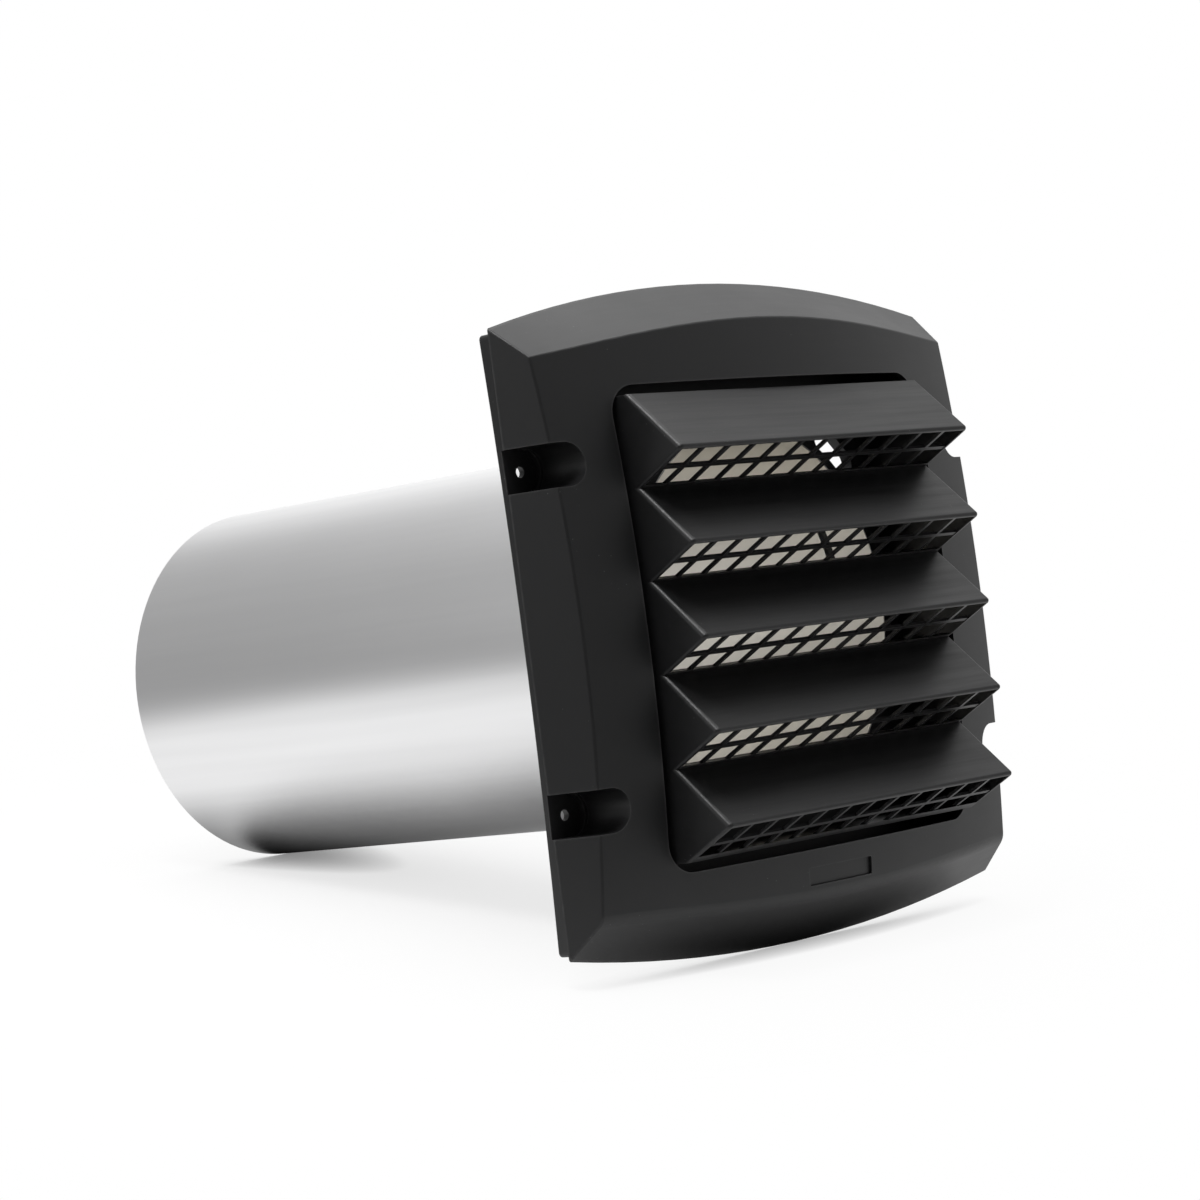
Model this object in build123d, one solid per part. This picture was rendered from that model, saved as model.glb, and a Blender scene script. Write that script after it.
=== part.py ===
# Intake vent hood: louvred hood cover on a wall plate, with a round duct pipe through the wall.
# Millimetres. +Z up, +X to the right seen from the front, the front faces -Y, the pipe runs to +Y.
# The wall plane, which is the back of the wall plate, is Y = 0 and the pipe axis is the Y axis.
import os

from build123d import *

# Duct pipe: its radius drives the collar and, with it, the grille
pipe_outer_r = 76.2
pipe_wall = 0.6
pipe_reach = 281.0
pipe_stop_length = 18.0
pipe_stop_rise = 0.6
lock_slot_y = 11.2
lock_slot_width = 4.4
lock_slot_length = 31.0
lock_slot_turn = 20.0

# Wall plate: it drives the cover and the screws
plate_width = 255.0
plate_height = 229.6
plate_thickness = 5.0
plate_corner_r = 2.0
plate_side_hollow = 2.7
collar_length = 10.0
sleeve_length = 16.0
collar_wall = 3.6
pipe_clearance = 0.0
screw_edge = 10.0
screw_spacing_z = 127.0
screw_hole_r = 2.1
screw_seat_depth = 2.6
window_gap = 3.7
window_length = 26.0
window_width = 11.0

# Louvre grille, measured outward from the collar
louvre_count = 5
louvre_reach = 23.2
louvre_drop = 22.62
grille_side_gap = 7.7
grille_end_gap = 7.2
grille_wall = 1.8
grille_face = 33.0
lip_r = 1.2
cheek_r = 2.0
rib_count = 11
rib_width = 1.7
rib_depth = 1.2
rib_inset = 0.3
bar_width = 2.0
bar_place = 0.54
valley_bar_share = 0.94
valley_bar_rise = 0.8
valley_bar_depth = 2.0

# Hood cover, measured outward from the wall plate and from the grille
cover_wall = 2.8
cover_side_overhang = 0.3
cover_top_overhang = 1.8
cover_bottom_overhang = 1.6
cover_top_arch = 15.4
cover_bottom_arch = 11.2
taper_depth = 30.0
taper_side = 9.6
taper_corner = 26.1
taper_top_peak = 19.8
taper_bottom_peak = 20.0
dome_height = 38.6
dome_across_r = 610.0
dome_upright_r = 884.0
ridge_r = 1.2
bottom_ridge_r = 7.0
moat = 4.0
opening_corner_r = 12.0
notch_height = 16.4
notch_reach = 9.7
notch_wall = 2.0
badge_width = 38.0
badge_height = 6.8
badge_corner_r = 0.5
badge_sink = 1.0
badge_gap = 7.0

# Sizes that follow from the values above
pipe_inner_r = pipe_outer_r - pipe_wall
pipe_front = -collar_length
collar_bore_r = pipe_outer_r + pipe_clearance
collar_outer_r = collar_bore_r + collar_wall
pipe_stop_r = pipe_outer_r + pipe_stop_rise
sleeve_bore_r = pipe_stop_r + pipe_clearance
plate_front = -plate_thickness
plate_half_width = plate_width / 2
plate_half_height = plate_height / 2
plate_waist = plate_half_width - plate_side_hollow
screw_x = plate_half_width - screw_edge
screw_z = screw_spacing_z / 2
window_radius = collar_outer_r + window_gap + window_width / 2
grille_width = 2 * (collar_outer_r + grille_side_gap)
grille_height = 2 * (collar_outer_r + grille_end_gap)
grille_top = grille_height / 2
louvre_pitch = grille_height / louvre_count
lip_y = -grille_face - louvre_reach
valley_bar_back = valley_bar_depth - grille_face
cover_half_width = plate_half_width + cover_side_overhang
cover_top_corner = plate_half_height + cover_top_overhang
cover_bottom_corner = plate_half_height + cover_bottom_overhang
cover_top_peak = cover_top_corner + cover_top_arch
cover_bottom_peak = cover_bottom_corner + cover_bottom_arch
opening_width = grille_width + 2 * moat
opening_height = grille_height + 2 * moat
notch_inner_x = screw_x - notch_reach
badge_z = -opening_height / 2 - badge_gap - badge_height / 2
# Cuts and rough blocks run past the cover, to this far in front of the wall and this far to the sides
far_front = -2 * dome_height
far_side = cover_half_width + taper_side


def along_y(radius, y_from, y_to, x=0.0, z=0.0):
    """A round bar along Y."""
    bar = Cylinder(radius, y_to - y_from, rotation=(90, 0, 0))
    return Pos(x, (y_from + y_to) / 2, z) * bar


def slab(x_size, z_size, corner_r, y_from, y_to, x=0.0, z=0.0):
    """A rounded rectangle in X and Z, carried from one Y to another."""
    flat = Plane(origin=(x, y_from, z), x_dir=(1, 0, 0), z_dir=(0, 1, 0)) * RectangleRounded(x_size, z_size, corner_r)
    return extrude(flat, y_to - y_from)


def slot(length, height, y_from, y_to, x=0.0, z=0.0):
    """A slot along X with round ends, carried from one Y to another."""
    flat = Plane(origin=(x, y_from, z), x_dir=(1, 0, 0), z_dir=(0, 1, 0)) * SlotOverall(length, height)
    return extrude(flat, y_to - y_from)


def side_slot(inner_x, height, y_from, side_x, side_z):
    """A slot at a screw, from a round end at inner_x out past the side of the hood, and back from y_from."""
    y_to = plate_front + screw_seat_depth
    return slot(2 * (far_side - inner_x), height, y_from, y_to, side_x * far_side, side_z * screw_z)


def across_x(points, width, x=0.0):
    """A closed outline of (y, z) points carried across X."""
    corners = [(x - width / 2, y, z) for y, z in points]
    face = make_face(Polyline(*corners, close=True))
    return extrude(face, width, dir=(1, 0, 0))


def cover_outline(inset, depth):
    """The arched outline of the cover at a depth in front of the wall plate."""
    share = depth / taper_depth
    half = cover_half_width - inset - taper_side * share
    top_corner = cover_top_corner - inset - taper_corner * share
    top_peak = cover_top_peak - inset - taper_top_peak * share
    bottom_corner = inset + taper_corner * share - cover_bottom_corner
    bottom_peak = inset + taper_bottom_peak * share - cover_bottom_peak
    y = plate_front - depth
    edges = [
        ThreePointArc((-half, y, top_corner), (0, y, top_peak), (half, y, top_corner)),
        Line((half, y, top_corner), (half, y, bottom_corner)),
        ThreePointArc((half, y, bottom_corner), (0, y, bottom_peak), (-half, y, bottom_corner)),
        Line((-half, y, bottom_corner), (-half, y, top_corner)),
    ]
    return make_face(edges)


def dome(inset):
    """A barrel, bowed upright and across, whose front is the face of the cover; it is turned from its back."""
    front = inset - dome_height
    axis_y = front + dome_across_r
    half = 1.5 * cover_top_peak
    bow = dome_upright_r - (dome_upright_r**2 - half**2) ** 0.5
    back = axis_y + dome_across_r
    edges = [
        ThreePointArc((0, back - bow, -half), (0, back, 0), (0, back - bow, half)),
        Line((0, back - bow, half), (0, axis_y, half)),
        Line((0, axis_y, half), (0, axis_y, -half)),
        Line((0, axis_y, -half), (0, back - bow, -half)),
    ]
    return revolve(make_face(edges), Axis((0, axis_y, 0), (0, 0, 1)))


# Duct pipe: a thin tube, doubled where it stops against the collar, with a slot at each side that shows the sleeve
pipe = along_y(pipe_outer_r, pipe_front, pipe_reach) + along_y(pipe_stop_r, 0, pipe_stop_length)
pipe -= along_y(pipe_inner_r, pipe_front, pipe_reach)
lock_slot = Pos(pipe_outer_r, lock_slot_y, 0) * Box(lock_slot_length / 2, lock_slot_width, lock_slot_length)
for turn in (lock_slot_turn, 180 - lock_slot_turn):
    pipe -= Rot(0, -turn, 0) * lock_slot

# Wall plate with its collar, a sleeve behind it, four screw seats and four corner windows; its sides are slightly hollow
top_left = (-plate_half_width, plate_front, plate_half_height)
top_right = (plate_half_width, plate_front, plate_half_height)
bottom_left = (-plate_half_width, plate_front, -plate_half_height)
bottom_right = (plate_half_width, plate_front, -plate_half_height)
plate_edges = [
    Line(top_left, top_right),
    ThreePointArc(top_right, (plate_waist, plate_front, 0), bottom_right),
    Line(bottom_right, bottom_left),
    ThreePointArc(bottom_left, (-plate_waist, plate_front, 0), top_left),
]
plate = extrude(make_face(plate_edges), plate_thickness, dir=(0, 1, 0))
plate = fillet(plate.edges().filter_by(Axis.Y), plate_corner_r)
plate += along_y(collar_outer_r, -collar_length, sleeve_length)
plate -= along_y(collar_bore_r, -collar_length, 0)
plate -= along_y(sleeve_bore_r, 0, sleeve_length)
for side_x in (-1, 1):
    for side_z in (-1, 1):
        x = side_x * screw_x
        z = side_z * screw_z
        plate -= along_y(screw_hole_r, plate_front, 0, x, z)
        plate -= side_slot(screw_x - notch_height / 2, notch_height, plate_front, side_x, side_z)
        window = slot(window_length, window_width, plate_front, 0)
        plate -= Rot(0, 45 * side_x * side_z, 0) * Pos(0, 0, side_z * window_radius) * window

def is_slope_side(edge):
    """Whether an edge runs down a louvre's slope at the side of the grille."""
    ends = edge.vertices().sort_by(Axis.Z)
    return ends[-1].Y - ends[0].Y > louvre_reach / 2


# Louvre grille: one moulding, a toothed outline with its sides, hollow behind, open below each lip
teeth = [(plate_front, grille_top), (-grille_face, grille_top)]
for number in range(louvre_count):
    top = grille_top - number * louvre_pitch
    teeth.append((lip_y, top - louvre_drop))
    teeth.append((-grille_face, top - louvre_pitch))
teeth.append((plate_front, -grille_top))
grille = across_x(teeth, grille_width)
cheek_edges = [edge for edge in grille.edges() if is_slope_side(edge)]
grille = fillet(cheek_edges, cheek_r)
lip_edges = [edge for edge in grille.edges() if edge.center().Y < lip_y + lip_r and edge.length > grille_width / 2]
grille = fillet(lip_edges, lip_r)
inside_width = grille_width - 2 * grille_wall
inside_top = grille_top - grille_wall
slope = (louvre_reach**2 + louvre_drop**2) ** 0.5
under_drop = louvre_pitch - louvre_drop
under_length = (louvre_reach**2 + under_drop**2) ** 0.5
wall_drop = grille_wall * slope / louvre_reach
lip_share = wall_drop / louvre_pitch
steepness = louvre_drop / louvre_reach


def under_louvre(number, share, inward):
    """A (y, z) point below a louvre: a share of the way from its lip to the valley, and a depth inward."""
    lip_z = grille_top - number * louvre_pitch - louvre_drop
    y = lip_y + louvre_reach * share + inward * under_drop / under_length
    z = lip_z - under_drop * share + inward * louvre_reach / under_length
    return (y, z)


def guard_strip(number, start, end):
    """The upright outline of a guard rib or bar below a louvre, between two shares of the way to the valley."""
    return [
        under_louvre(number, start, rib_inset),
        under_louvre(number, end, rib_inset),
        under_louvre(number, end, rib_inset + rib_depth),
        under_louvre(number, start, rib_inset + rib_depth),
    ]


hollow = [(0, inside_top), (-grille_face + (wall_drop - grille_wall) / steepness, inside_top)]
for number in range(louvre_count):
    valley_z = grille_top - (number + 1) * louvre_pitch
    hollow.append(under_louvre(number, lip_share, 0))
    if number < louvre_count - 1:
        guard_end = under_louvre(number, valley_bar_share, 0)
        hollow.append(guard_end)
        hollow.append((valley_bar_back, guard_end[1] + valley_bar_rise))
        hollow.append((valley_bar_back, valley_z - wall_drop + (valley_bar_back + grille_face) * steepness))
hollow.append(under_louvre(louvre_count - 1, 1 - grille_wall / under_drop, 0))
hollow.append((0, -inside_top))
grille -= across_x(hollow, inside_width)

guard = []
for number in range(louvre_count):
    rib = guard_strip(number, lip_share * 0.9, 1.0)
    for place in range(rib_count):
        x = grille_width * ((place + 1) / (rib_count + 1) - 0.5)
        guard.append(across_x(rib, rib_width, x))
    bar_share = bar_width / under_length / 2
    guard.append(across_x(guard_strip(number, bar_place - bar_share, bar_place + bar_share), inside_width + grille_wall))
grille += guard

# Hood cover: an arched, tapered shell with a bowed front, open for the grille and notched for the screws
outer = loft([cover_outline(0, 0), cover_outline(0, 2 * taper_depth)], ruled=True) & dome(0)
ridges = outer.faces().sort_by(Axis.Y)[0].edges()
bottom_ridge = [edge for edge in ridges if edge.center().Z < -screw_z]
outer = fillet(bottom_ridge, bottom_ridge_r)
front_edges = [edge for edge in outer.edges() if edge.center().Y < plate_front - ridge_r and edge.center().Z > -screw_z]
outer = fillet(front_edges, ridge_r)
badge = slab(badge_width, badge_height, badge_corner_r, far_front, -dome_height / 2, 0, badge_z)
outer -= badge - dome(badge_sink)
inner = loft([cover_outline(cover_wall, 0), cover_outline(cover_wall, 2 * taper_depth)], ruled=True) & dome(cover_wall)
cover = outer - inner
pockets = []
notches = []
for side_x in (-1, 1):
    for side_z in (-1, 1):
        pockets.append(side_slot(notch_inner_x - notch_wall, notch_height + 2 * notch_wall, far_front, side_x, side_z))
        notches.append(side_slot(notch_inner_x, notch_height, far_front, side_x, side_z))
cover += [pocket & outer for pocket in pockets]
cover -= notches
cover -= slab(opening_width, opening_height, opening_corner_r, far_front, plate_front)

os.makedirs("parts", exist_ok=True)
export_step(cover, "parts/hood_cover.step")
export_step(grille, "parts/louvre_grille.step")
export_step(plate, "parts/wall_plate.step")
export_step(pipe, "parts/duct_pipe.step")
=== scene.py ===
"""Looks of the intake vent hood: black plastic hood, satin aluminium pipe, white table and soft light."""

import math

import bmesh
import bpy
from mathutils import Matrix, Vector


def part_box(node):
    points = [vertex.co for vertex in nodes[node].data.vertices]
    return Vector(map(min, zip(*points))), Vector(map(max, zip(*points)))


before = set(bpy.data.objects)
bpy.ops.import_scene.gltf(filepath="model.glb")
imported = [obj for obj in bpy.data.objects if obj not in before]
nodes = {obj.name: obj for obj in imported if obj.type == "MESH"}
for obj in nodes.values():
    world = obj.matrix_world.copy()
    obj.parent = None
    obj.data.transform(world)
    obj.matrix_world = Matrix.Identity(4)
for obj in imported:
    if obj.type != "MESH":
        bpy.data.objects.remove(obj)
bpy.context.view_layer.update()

# The photograph's view, measured in the part's frame: what the middle of the picture looks at, and from where
view_target = Vector((-0.0809, 0.0, 0.0136))
view_distance = 1.318
view_turn = 47.26
view_rise = -0.96
view_roll = 7.43
view_lens = 105.3
sensor_width = 36.0

# The hood lies tipped back on the table, on its lower edge and on the far end of its pipe
cover_low, cover_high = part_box("hood_cover")
_, pipe_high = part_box("duct_pipe")
pipe_radius = 0.0762
front_foot = Vector((0.0, cover_high.y, cover_low.z))
back_foot = Vector((0.0, pipe_high.y, -pipe_radius))
table_middle = (front_foot + back_foot) / 2
table_lean = math.atan2(back_foot.z - front_foot.z, back_foot.y - front_foot.y)
table_size = 1.1

# The table's white, and where it fades into the white behind it
table_white = (0.90, 0.90, 0.90, 1.0)
table_roughness = 0.6
table_glow = 0.95
fade_near = 0.28
fade_far = 0.5

# The table's shadow: close to what touches it, and softer behind the hood
occlusion_samples = 8
contact_reach = 0.012
contact_shadow = 0.65
soft_reach = 0.16
soft_shadow = 0.3
behind_start = -0.05
behind_end = 0.1

# The table as the pipe and the plastic mirror it: painted shade under the object, in front of it and just past
# the pipe's far end
mirrored_closed = 0.2
mirrored_open = 0.66
mirrored_dark = 0.1
mirrored_front = 0.85
mirrored_end = 0.85
mirrored_end_half = 0.08
mirrored_end_start = pipe_high.y - 0.03
mirrored_end_stop = pipe_high.y + 0.02

# How much fine detail a noise has, and the value that it varies about
fine_detail = 1.0
cloud_detail = 2.0
rich_detail = 3.0
scuff_detail = 4.0
noise_middle = 0.5

# Black plastic: specks of dust, light wear with a painted highlight along the edges, scuffs along X and a fine
# grain
plastic_black = (0.0075, 0.0075, 0.008, 1.0)
plastic_specular = 0.5
plastic_roughness = 0.38
blotch_scale = 28.0
blotch_share = 0.10
dust_colour = (0.20, 0.20, 0.20, 1.0)
dust_scale = 330.0
dust_size = 0.055
dust_patch_scale = 61.0
dust_patch_level = 0.6
dust_share = 0.5
worn_highlight_colour = (0.075, 0.075, 0.075, 1.0)
edge_wear_highlight_reach = 0.0011
edge_wear_highlight_share = 0.6
edge_wear_highlight_full = 0.5
edge_wear_highlight_none = 0.85
edge_wear_highlight_patch_scale = 210.0
scuff_stretch = (0.04, 1.0, 1.0)
scuff_scale = 380.0
scuff_roughness = 0.65
plain_scuff = 0.05
louvre_scuff = 0.30
grain_scale = 1900.0
grain_strength = 0.06
grain_depth = 0.0002

# Satin aluminium: streaks along the pipe, faint clouds, and a lighter, warmer inside that is painted warm light
aluminium_light = (0.91, 0.91, 0.915, 1.0)
aluminium_dark = (0.83, 0.83, 0.835, 1.0)
inside_warm_light_colour = (0.965, 0.945, 0.90, 1.0)
aluminium_roughness = 0.30
across_pipe = (1.0, 0.0, 1.0)
streak_stretch = (1.0, 0.03, 1.0)
streak_scale = 160.0
streak_share = 0.05
cloud_scale = 9.0
cloud_share = 0.05

# Light: a white backdrop behind the object, grey to its sides and a darker room in front of it
backdrop_way = Vector((0.87, 0.49, 0.0))
backdrop_white = 1.0
backdrop_start = 0.4
backdrop_full = 0.9
side_grey = 0.38
side_full = 0.1
room_grey = 0.16
room_full = -0.8
pure_white = (1.0, 1.0, 1.0, 1.0)
pure_black = (0.0, 0.0, 0.0, 1.0)

# Each lamp's name, its place, what it points at, its two widths and its watts
lamps = (
    ("overhead_light", (0.0, 0.0, 1.3), (0.0, 0.0, 0.0), (2.0, 1.5), 18.0),
    ("left_light", (-1.35, 0.45, 0.5), (0.0, 0.1, 0.0), (0.8, 0.8), 2.0),
    ("edge_light", (-0.58, -0.22, 1.12), (0.0, 0.0, 0.0), (0.3, 0.3), 6.0),
)

# The sockets of a Mix node that mixes colours, which share their names with its others
colour_first = 6
colour_second = 7
colour_result = 2


class Shade:
    """A socket of a node tree; sums, products and comparisons of sockets add Math nodes."""

    def __init__(self, tree, socket=None):
        self.tree = tree
        self.socket = socket

    def node(self, kind, settings=None, inputs=None, output=0):
        """Adds a node, its settings first and then its sockets' values or links, and gives one of its outputs."""
        made = self.tree.nodes.new(kind)
        for name, value in (settings or {}).items():
            setattr(made, name, value)
        for name, value in (inputs or {}).items():
            if isinstance(value, Shade):
                value.into(made.inputs[name])
            else:
                made.inputs[name].default_value = value
        return Shade(self.tree, made.outputs[output])

    def into(self, socket):
        """Links this socket into another."""
        self.tree.links.new(self.socket, socket)

    def math(self, operation, first, second):
        return self.node("ShaderNodeMath", {"operation": operation}, {0: first, 1: second})

    def __add__(self, other):
        return self.math("ADD", self, other)

    __radd__ = __add__

    def __mul__(self, other):
        return self.math("MULTIPLY", self, other)

    __rmul__ = __mul__

    def __sub__(self, other):
        return self.math("SUBTRACT", self, other)

    def __rsub__(self, other):
        return self.math("SUBTRACT", other, self)

    def __gt__(self, other):
        return self.math("GREATER_THAN", self, other)

    def __lt__(self, other):
        return self.math("LESS_THAN", self, other)


def material(name):
    """A new material, its shader, and a start for its other nodes."""
    made = bpy.data.materials.new(name)
    made.use_nodes = True
    tree = made.node_tree
    return made, tree.nodes["Principled BSDF"], Shade(tree)


def coordinates(start, kind):
    return start.node("ShaderNodeTexCoord", output=kind)


def noise(place, scale, detail, roughness=0.5):
    inputs = {"Vector": place, "Scale": scale, "Detail": detail, "Roughness": roughness}
    return place.node("ShaderNodeTexNoise", {"noise_dimensions": "3D"}, inputs)


def stretched(place, scale):
    """Coordinates that draw a pattern out along the axis with the small scale."""
    return place.node("ShaderNodeMapping", {}, {"Vector": place, "Scale": scale})


def smooth(value, low, high, first=0.0, last=1.0):
    """A value eased from first at low to last at high."""
    limits = {"Value": value, "From Min": low, "From Max": high, "To Min": first, "To Max": last}
    return value.node("ShaderNodeMapRange", {"interpolation_type": "SMOOTHSTEP"}, limits)


def mixed(share, first, second):
    """A share of the second colour over the first."""
    inputs = {"Factor": share, colour_first: first, colour_second: second}
    return share.node("ShaderNodeMix", {"data_type": "RGBA"}, inputs, colour_result)


def mixed_shader(share, first, second):
    """A share of the second shader over the first."""
    return share.node("ShaderNodeMixShader", {}, {0: share, 1: first, 2: second})


def dot(first, second):
    return first.node("ShaderNodeVectorMath", {"operation": "DOT_PRODUCT"}, {0: first, 1: second}, "Value")


def openness(start, reach, **settings):
    """How free a surface is of others within reach: 1 in the open, less in corners and under things."""
    settings["samples"] = occlusion_samples
    return start.node("ShaderNodeAmbientOcclusion", settings, {"Distance": reach}, "AO")


def glow(start, colour):
    return start.node("ShaderNodeEmission", {}, {"Color": colour, "Strength": 1.0})


def rays(start):
    """What the camera sees by itself, and what it sees mirrored in metal or through something clear."""
    straight = start.node("ShaderNodeLightPath", output="Is Camera Ray")
    mirrored = start.node("ShaderNodeLightPath", output="Is Glossy Ray")
    through = start.node("ShaderNodeLightPath", output="Is Transmission Ray")
    return straight, start.math("MAXIMUM", mirrored, through)


def black_plastic(name, scuff):
    """Satin black moulded plastic with a fine grain, a little dust, worn edges with a painted highlight, and
    scuffs.
    """
    made, shader, start = material(name)
    place = coordinates(start, "Object")
    speck = start.node("ShaderNodeTexVoronoi", {"feature": "F1"}, {"Vector": place, "Scale": dust_scale})
    dust = (speck < dust_size) * (noise(place, dust_patch_scale, fine_detail) > dust_patch_level)
    dusty = mixed(dust * dust_share, plastic_black, dust_colour)
    # Seen from inside the wall, only the outer edges are close to another face
    edge = openness(start, edge_wear_highlight_reach, inside=True, only_local=True)
    # The outer edges are lightened: partly wear, partly a painted highlight
    wear_and_highlight = smooth(edge, edge_wear_highlight_full, edge_wear_highlight_none, edge_wear_highlight_share, 0.0) * noise(place, edge_wear_highlight_patch_scale, rich_detail)
    mixed(wear_and_highlight, dusty, worn_highlight_colour).into(shader.inputs["Base Color"])
    blotch = noise(place, blotch_scale, rich_detail)
    scuffs = noise(stretched(place, scuff_stretch), scuff_scale, scuff_detail, scuff_roughness)
    roughness = blotch * blotch_share + (scuffs - noise_middle) * scuff + plastic_roughness
    roughness.into(shader.inputs["Roughness"])
    grain = noise(place, grain_scale, fine_detail)
    relief = {"Strength": grain_strength, "Distance": grain_depth, "Height": grain}
    start.node("ShaderNodeBump", {}, relief).into(shader.inputs["Normal"])
    shader.inputs["Specular IOR Level"].default_value = plastic_specular
    return made


def satin_aluminium():
    """Satin rolled aluminium with faint streaks along the pipe, and painted warm light that makes its inside
    lighter and warmer.
    """
    made, shader, start = material("satin_aluminium")
    place = coordinates(start, "Object")
    streak = noise(stretched(place, streak_stretch), streak_scale, rich_detail)
    cloud = noise(place, cloud_scale, cloud_detail)
    tint = mixed(streak, aluminium_light, aluminium_dark)
    from_axis = start.node("ShaderNodeVectorMath", {"operation": "MULTIPLY"}, {0: place, 1: across_pipe})
    inside = dot(from_axis, coordinates(start, "Normal")) < 0.0
    # The inside surfaces get a lighter, warmer colour: painted warm light
    mixed(inside, tint, inside_warm_light_colour).into(shader.inputs["Base Color"])
    roughness = streak * streak_share + cloud * cloud_share + aluminium_roughness
    roughness.into(shader.inputs["Roughness"])
    shader.inputs["Metallic"].default_value = 1.0
    return made


def dress(name, finish):
    """Gives a CAD node its finish."""
    slots = nodes[name].data.materials
    slots.clear()
    slots.append(finish)


plain_plastic = black_plastic("satin_black_plastic", plain_scuff)
dress("hood_cover", plain_plastic)
dress("wall_plate", plain_plastic)
dress("louvre_grille", black_plastic("scuffed_black_plastic", louvre_scuff))
dress("duct_pipe", satin_aluminium())


def white_table():
    """The white table: it shows white around the object and keeps the object's soft shadow."""
    made, shader, start = material("white_table")
    shader.inputs["Base Color"].default_value = table_white
    shader.inputs["Roughness"].default_value = table_roughness
    straight, mirrored = rays(start)
    place = coordinates(start, "Object")
    sideways = start.node("ShaderNodeSeparateXYZ", {}, {0: place}, "X")
    depth = start.node("ShaderNodeSeparateXYZ", {}, {0: place}, "Y")
    behind = smooth(depth, behind_start, behind_end)
    near = openness(start, contact_reach)
    wide = openness(start, soft_reach)
    white = glow(start, pure_white)

    # Seen by the camera: white, with the two shadows
    shadow = (1 - (1 - near) * contact_shadow) * (1 - (1 - wide) * behind * soft_shadow)
    lit = Shade(start.tree, shader.outputs["BSDF"])
    plain = mixed_shader(straight * shadow * table_glow, lit, white)

    # Seen mirrored: white, with painted shade under the object, in front of it and past the pipe's end
    under = smooth(wide, mirrored_closed, mirrored_open, mirrored_dark, 1.0)
    front = behind * (1 - mirrored_front) + mirrored_front
    end = smooth(depth, mirrored_end_start, mirrored_end_stop)
    band = smooth(sideways * sideways, 0.0, mirrored_end_half**2, mirrored_end, 0.0)
    image = mixed_shader(under * near * front * (1 - end * band), glow(start, pure_black), white)

    # Away from the object the table clears, and the white behind it takes over
    pale = mixed_shader(mirrored, plain, image)
    away = {0: place, 1: table_middle}
    spread = start.node("ShaderNodeVectorMath", {"operation": "DISTANCE"}, away, "Value")
    fade = smooth(spread, fade_near, fade_far) * (straight + mirrored)
    whole = mixed_shader(fade, pale, start.node("ShaderNodeBsdfTransparent"))
    whole.into(start.tree.nodes["Material Output"].inputs["Surface"])
    return made


def table_top():
    """A flat sheet through the two places where the hood lies on the table."""
    mesh = bmesh.new()
    bmesh.ops.create_grid(mesh, x_segments=1, y_segments=1, size=table_size)
    turn = Matrix.Rotation(table_lean, 3, "X")
    bmesh.ops.rotate(mesh, cent=(0, 0, 0), matrix=turn, verts=mesh.verts)
    bmesh.ops.translate(mesh, vec=table_middle, verts=mesh.verts)
    data = bpy.data.meshes.new("table_top")
    mesh.to_mesh(data)
    mesh.free()
    data.materials.append(white_table())
    made = bpy.data.objects.new("table_top", data)
    bpy.context.collection.objects.link(made)


table_top()


def studio_world():
    """White where the camera sees it, and elsewhere the backdrop, the grey sides and the room."""
    world = bpy.data.worlds.new("studio")
    world.use_nodes = True
    bpy.context.scene.world = world
    start = Shade(world.node_tree)
    light = world.node_tree.nodes["Background"]
    light.inputs["Color"].default_value = pure_white
    seen, _ = rays(start)
    facing = dot(coordinates(start, "Generated"), backdrop_way)
    sides = smooth(facing, room_full, side_full, room_grey, side_grey)
    back = smooth(facing, backdrop_start, backdrop_full, 0.0, backdrop_white - side_grey)
    strength = seen + (1 - seen) * (sides + back)
    strength.into(light.inputs["Strength"])


def soft_lamp(name, place, aim, size, power):
    """A soft light from a rectangle."""
    data = bpy.data.lights.new(name, "AREA")
    data.shape = "RECTANGLE"
    data.size, data.size_y = size
    data.energy = power
    lamp = bpy.data.objects.new(name, data)
    lamp.location = place
    lamp.rotation_mode = "QUATERNION"
    lamp.rotation_quaternion = (Vector(aim) - Vector(place)).to_track_quat("-Z", "Y")
    bpy.context.collection.objects.link(lamp)


studio_world()
for lamp_values in lamps:
    soft_lamp(*lamp_values)


def photo_camera():
    """A camera at the photograph's viewing angle."""
    data = bpy.data.cameras.new("photo_camera")
    data.lens = view_lens
    data.sensor_width = sensor_width
    turn, rise = math.radians(view_turn), math.radians(view_rise)
    level = math.cos(rise)
    forward = Vector((math.sin(turn) * level, math.cos(turn) * level, -math.sin(rise)))
    upright = forward.to_track_quat("-Z", "Y")
    roll = Matrix.Rotation(math.radians(view_roll), 3, forward).to_quaternion()
    made = bpy.data.objects.new("photo_camera", data)
    made.location = view_target - forward * view_distance
    made.rotation_mode = "QUATERNION"
    made.rotation_quaternion = roll @ upright
    bpy.context.collection.objects.link(made)
    bpy.context.scene.camera = made


photo_camera()
bpy.context.scene.view_settings.view_transform = "Standard"
